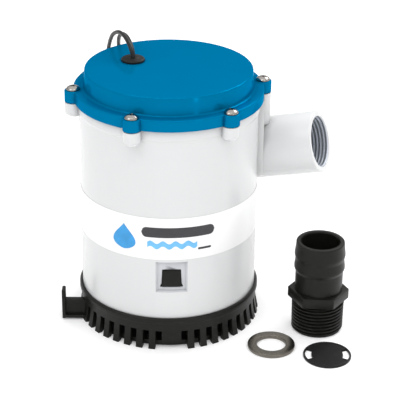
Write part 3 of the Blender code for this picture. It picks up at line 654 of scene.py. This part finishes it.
# ------------------------------------------------------------------ grommet and leads
spots = []
for s in (-1.0, 1.0):
    t = rad(110.3)
    spots.append((GX + s * 2.25 * math.cos(t), GY + s * 2.25 * math.sin(t)))
grommet = carve(
    "grommet_work",
    shifted(turned(rounded([(0, 215.5, 0), (4.6, 215.5, 0.6), (5.2, 215.0, 0.5), (8.2, 214.9, 1.0), (9.45, 213.9, 0.8), (9.4, 212.55, 0.3), (4.9, 212.55, 0), (4.9, 209.1, 0), (7.6, 209.1, 0.5), (7.0, 206.4, 0.8), (0, 206.4, 0)], 4), 96), GX, GY),
    ("-", together(*[shifted(rod(1.85, 200.0, 220.0, 32), *s) for s in spots])))
piece("grommet_body", grommet, RUBBER, "pump", ["cable_grommet"])
LEADS = {
    "power_wire_negative": [(*spots[0], 163.0), (*spots[0], 190.0), (*spots[0], 212.0), (*spots[0], 217.0), (-34.5, 4.0, 223.2),
                            (-40.5, 10.0, 227.3), (-47.8, 17.5, 228.5), (-54.3, 23.6, 226.7), (-60.8, 29.8, 221.8), (-66.4, 37.3, 213.9),
                            (-70.9, 44.0, 205.0), (-72.8, 45.8, 197.0), (-73.0, 46.0, 187.0)],
    "power_wire_positive": [(*spots[1], 163.0), (*spots[1], 190.0), (*spots[1], 212.0), (*spots[1], 217.0), (-36.0, 9.3, 222.5),
                            (-42.1, 16.4, 226.0), (-48.7, 23.6, 225.8), (-54.1, 30.1, 222.6), (-59.1, 37.9, 216.0), (-63.0, 46.4, 207.2),
                            (-62.9, 48.4, 200.0), (-62.8, 48.6, 188.0)],
}
for name, knots in LEADS.items():
    piece(name + "_jacket", tube_along(spline(knots, 8), 1.65, 24), CABLE, "pump", [name])

# ------------------------------------------------------------------ strainer base
base_profile = rounded([
    (0, 5.2, 0), (0, 0, 0), (12, 0, 0.5), (12, 1.2, 0.3), (70.2, 1.2, 0), (71.6, 0, 0.2), (75.2, 0, 0.3), (74.85, 1.2, 0.8), (73.6, 7.0, 4.0), (72.8, 12.5, 4.0),
    (72.8, 21.9, 0.3), (74.0, 22.5, 0.3), (74.0, 25.6, 0.5), (72.9, 27.0, 0.6), (71.9, 27.4, 0.2), (71.9, 17.7, 0.2), (70.2, 17.7, 0.2), (70.2, 5.2, 0)], 3)
base_profile = [p for i, p in enumerate(base_profile)]
base_parts = [turned_by(softbox(*dims), SIDE) for dims in (
    (-87.2, -84.4, -28.5, -19.5, 1.2, 27.2, 0.5),
    (-85.4, -67.4, -25.4, -22.6, 1.4, 17.5, 0.4),
    (-85.4, -67.4, -28.2, -19.8, 1.3, 4.2, 0.5),
    (-85.4, -67.5, -26.8, -21.2, 15.2, 17.8, 0.5))]
slots = []
for k in range(44):
    if k in (0, 22):
        continue
    a = LATCH + 360.0 * k / 44
    if abs((a - (SIDE + 180 + 18.5) + 180) % 360 - 180) < 6.5:
        continue
    slots.append(sector(69.2, 76.5, a - 2.0, a + 2.0, -1.0, 15.6, 1))
strainer = carve(
    "strainer_work", turned(base_profile, 264, rad(0.29)),
    *[("+", b) for b in base_parts],
    ("-", together(*slots)),
    ("-", together(
        sector(69.3, 76.6, LATCH - 9.9, LATCH + 9.9, -1.1, 7.4, 6),
        sector(69.3, 76.6, LATCH + 170.1, LATCH + 189.9, -1.1, 7.4, 6),
        *[shifted(rod(2.4, -1.0, 7.0, 28), *polar(42.0, a)) for a in (45.0, 135.0, 225.0, 315.0)])),
)
piece("strainer_ring", strainer, BLACK, "strainer", ["strainer_base"], smooth=28)


def latch(name, angle, body, cad):
    wedge = softened(loft([
        [(67.0, -7.6, 55.2), (70.6, -7.6, 55.2), (70.6, 7.6, 55.2), (67.0, 7.6, 55.2)],
        [(67.0, -7.5, 57.2), (70.5, -7.5, 57.2), (70.5, 7.5, 57.2), (67.0, 7.5, 57.2)],
        [(67.0, -7.0, 69.3), (69.4, -7.0, 69.3), (69.4, 7.0, 69.3), (67.0, 7.0, 69.3)]]), 0.45, 3, 40)
    tongue = softbox(65.5, 67.7, -6.2, 6.2, 5.6, 73.0, 0.5, 2)
    piece(name, turned_by(carve("latch_work", tongue, ("+", wedge)), angle), BLACK, body, [cad])


latch("latch_front_tongue", LATCH, "latch_front", "strainer_latch_front")
latch("latch_rear_tongue", LATCH + 180.0, "latch_rear", "strainer_latch_rear")

# ------------------------------------------------------------------ water end, seen when the pump is off its base
bowl = carve(
    "bowl_work",
    turned(rounded([(19, 24, 1.0), (22, 24, 0.8), (22, 31, 1.5), (56, 31, 3.0), (56, 76, 0.8), (62, 76, 0.5), (62, 79.7, 0.3), (53, 79.7, 0.3), (53, 33.5, 1.8), (19, 33.5, 0.8)], 4), 180),
    ("-", together(*[shifted(rod(1.8, 75.0, 81.0, 20), *polar(59.0, a)) for a in (0.0, 120.0, 240.0)])))
piece("bowl_shell", bowl, INNER, "pump", ["volute_bowl"])
vane_shapes = []
for k in range(6):
    outer, inner = [], []
    for i in range(19):
        t = i / 18
        r = 8.2 + (45.2 - 8.2) * t
        a = 60.0 * k + 62.0 * t ** 0.9
        half = math.degrees(1.2 / r)
        outer.append(polar(r, a + half))
        inner.append(polar(r, a - half))
    vane_shapes.append(prism(outer + inner[::-1], 34.6, 50.4))
wheel = carve(
    "wheel_work",
    turned(rounded([(4.3, 60, 0), (9, 60, 0.6), (9.5, 53, 2.0), (46, 52, 0.5), (46, 49.6, 0.4), (10.0, 49.6, 2.0), (9, 38, 0.8), (4.3, 38, 0)], 4), 120, rad(0.7)),
    *[("+", v) for v in vane_shapes])
piece("impeller_wheel", wheel, INNER, "rotor", ["impeller"])

# ------------------------------------------------------------------ loose outlet kit
AX, AY = 122.7, -33.8


def tail_thread(angle, z):
    turn = (z / 3.0 - angle / (2 * math.pi)) % 1.0
    wave = max(0.0, min(1.0, 0.5 + 0.95 * math.cos(2 * math.pi * turn)))
    crest = 20.9 + 0.4 * z / 26.0
    if z < 1.4:
        crest = 19.6 + z * 0.93
    root = 19.35
    fade = max(0.0, min(1.0, (26.8 - z) / 1.4))
    return root + (crest - root) * wave * fade


adapter = carve(
    "adapter_work",
    helix(tail_thread, 0.0, 29.0, 0.21, 144),
    ("+", turned(rounded([(15.0, 28.0, 0), (19.25, 28.0, 0), (19.25, 52.6, 1.5), (20.5, 55.6, 0.7), (20.5, 57.3, 0.7), (19.8, 62.9, 0.6), (19.8, 63.8, 0.5), (20.5, 66.9, 0.6), (20.5, 68.3, 0.7), (19.7, 75.0, 1.5), (19.5, 78.0, 0.6), (18.9, 78.7, 0.5), (15.0, 78.7, 0)], 4), 144, rad(0.9))),
    ("+", softened(prism([(24.9 * math.cos(rad(60 * i - 4)), 24.9 * math.sin(rad(60 * i - 4))) for i in range(6)], 27.5, 36.0), 0.6, 3)),
    ("-", turned(rounded([(0, -1.0, 0), (15.5, -1.0, 0), (15.5, 77.6, 0.5), (16.6, 79.3, 0), (0, 79.6, 0)], 3), 120, rad(0.4))),
)
piece("adapter_body", turned_by(shifted(adapter, AX, AY), SIDE), ADAPTER, "adapter", ["hose_adapter"], smooth=40)
WX, WY = 84.0, -67.4
ring = turned(rounded([(11.6, 0, 0.5), (19.0, 0, 0.7), (19.0, 3.0, 0.8), (11.6, 3.0, 0.7)], 5), 180)
piece("washer_ring", turned_by(shifted(ring, WX, WY), SIDE), WASHER, "washer", ["outlet_washer"])
VX, VY = 128.0, -81.4
disc = carve(
    "valve_work",
    turned(rounded([(0, 1.75, 0), (17.3, 1.75, 0.3), (17.6, 2.0, 0.2), (19.1, 2.0, 0.6), (19.1, 0, 0.4), (0, 0, 0)], 4), 180),
    ("-", together(*[sector(12.6, 17.7, a - 26.5, a + 26.5, -1.0, 3.0, 24) for a in (0.0, 180.0)])))
piece("valve_disc", turned_by(shifted(disc, VX, VY), SIDE), RUBBER, "valve", ["check_valve"])

# ------------------------------------------------------------------ brush springs, each copied onto a mesh of its own
for tag, way in (("a", 1.0), ("b", -1.0)):
    coil = bpy.data.objects.new(f"spring_coil_{tag}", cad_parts[f"brush_spring_{tag}"].data.copy())
    bpy.context.scene.collection.objects.link(coil)
    coil.data.shade_smooth()
    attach(coil, "pump")
    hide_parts(f"brush_spring_{tag}")
    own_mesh(coil)

# ------------------------------------------------------------------ stage
floor_mesh = bpy.data.meshes.new("studio_floor")
floor_mesh.from_pydata([(-40, -40, 0), (40, -40, 0), (40, 40, 0), (-40, 40, 0)], [], [(0, 1, 2, 3)])
floor = bpy.data.objects.new("studio_floor", floor_mesh)
bpy.context.scene.collection.objects.link(floor)
paint = bpy.data.materials.new("studio_floor")
paint.use_nodes = True
paint.node_tree.nodes["Principled BSDF"].inputs["Base Color"].default_value = (0.92, 0.92, 0.92, 1)
paint.node_tree.nodes["Principled BSDF"].inputs["Roughness"].default_value = 0.8
paint.node_tree.nodes["Principled BSDF"].inputs["Specular IOR Level"].default_value = 0.2
paint.node_tree.nodes["Principled BSDF"].inputs["Emission Color"].default_value = (1, 1, 1, 1)
paint.node_tree.nodes["Principled BSDF"].inputs["Emission Strength"].default_value = 0.17
floor_mesh.materials.append(paint)

world = bpy.data.worlds.new("studio")
bpy.context.scene.world = world
world.use_nodes = True
world.node_tree.nodes["Background"].inputs["Color"].default_value = (1, 1, 1, 1)
sky = world.node_tree
way = node(sky, "ShaderNodeTexCoord")
split = node(sky, "ShaderNodeSeparateXYZ")
rise = node(sky, "ShaderNodeValToRGB")
stops = rise.color_ramp
stops.elements[0].position = 0.0
stops.elements[0].color = (0.80, 0.80, 0.80, 1)
stops.elements[1].position = 0.85
stops.elements[1].color = (1, 1, 1, 1)
for place, level in ((0.05, 0.72), (0.10, 0.24)):
    stop = stops.elements.new(place)
    stop.color = (level, level, level, 1)
gain = node(sky, "ShaderNodeMath", operation="MULTIPLY")
gain.inputs[1].default_value = 1.3
sky.links.new(way.outputs["Generated"], split.inputs["Vector"])
sky.links.new(split.outputs["Z"], rise.inputs["Fac"])
sky.links.new(rise.outputs["Color"], gain.inputs[0])
sky.links.new(gain.outputs["Value"], sky.nodes["Background"].inputs["Strength"])
bpy.context.scene.view_settings.view_transform = "Standard"
bpy.context.scene.view_settings.look = "None"


def lamp(name, at, aim, size, power, size_y=None):
    data = bpy.data.lights.new(name, "AREA")
    data.energy = power
    data.shape = "RECTANGLE" if size_y else "SQUARE"
    data.size = size
    if size_y:
        data.size_y = size_y
    obj = bpy.data.objects.new(name, data)
    bpy.context.scene.collection.objects.link(obj)
    obj.location = at
    obj.rotation_euler = (Vector(aim) - Vector(at)).to_track_quat("-Z", "Y").to_euler()
    return obj


def from_side(x, y, z):
    """A point given in the camera's level axes."""
    return tuple(Matrix.Rotation(rad(SIDE), 4, "Z") @ Vector((x, y, z)))


lamp("key", from_side(-0.9, -0.7, 1.4), (0, 0, 0.1), 0.7, 3.2)
lamp("bar", from_side(0.0, -0.62, 1.25), (0, 0, 0.2), 1.0, 1.9, 0.08)
lamp("fill", from_side(0.6, 0.5, 0.85), (0.1, 0.05, 0.14), 0.5, 4.0)
lamp("strip", from_side(0.62, -0.86, 0.42), (0, 0, 0.11), 0.1, 0.6, 0.8)

# ------------------------------------------------------------------ camera
cam_data = bpy.data.cameras.new("photo_camera")
cam_data.lens = 135.07
cam_data.sensor_width = 36.0
cam_data.clip_start = 0.05
cam_data.clip_end = 50.0
cam = bpy.data.objects.new("photo_camera", cam_data)
bpy.context.scene.collection.objects.link(cam)
pitch, roll = 0.4445, 0.0112
turn = Matrix.Rotation(rad(SIDE), 3, "Z")
right = turn @ Vector((1, 0, 0))
ahead = turn @ Vector((0, math.cos(pitch), -math.sin(pitch)))
up = right.cross(ahead)
right_r = right * math.cos(roll) + up * math.sin(roll)
up_r = up * math.cos(roll) - right * math.sin(roll)
at = turn @ Vector((25.51 * MM, -1106.89 * MM, 624.59 * MM))
pose = Matrix((
    (right_r.x, up_r.x, -ahead.x, at.x),
    (right_r.y, up_r.y, -ahead.y, at.y),
    (right_r.z, up_r.z, -ahead.z, at.z),
    (0, 0, 0, 1)))
cam.matrix_world = pose
bpy.context.scene.camera = cam
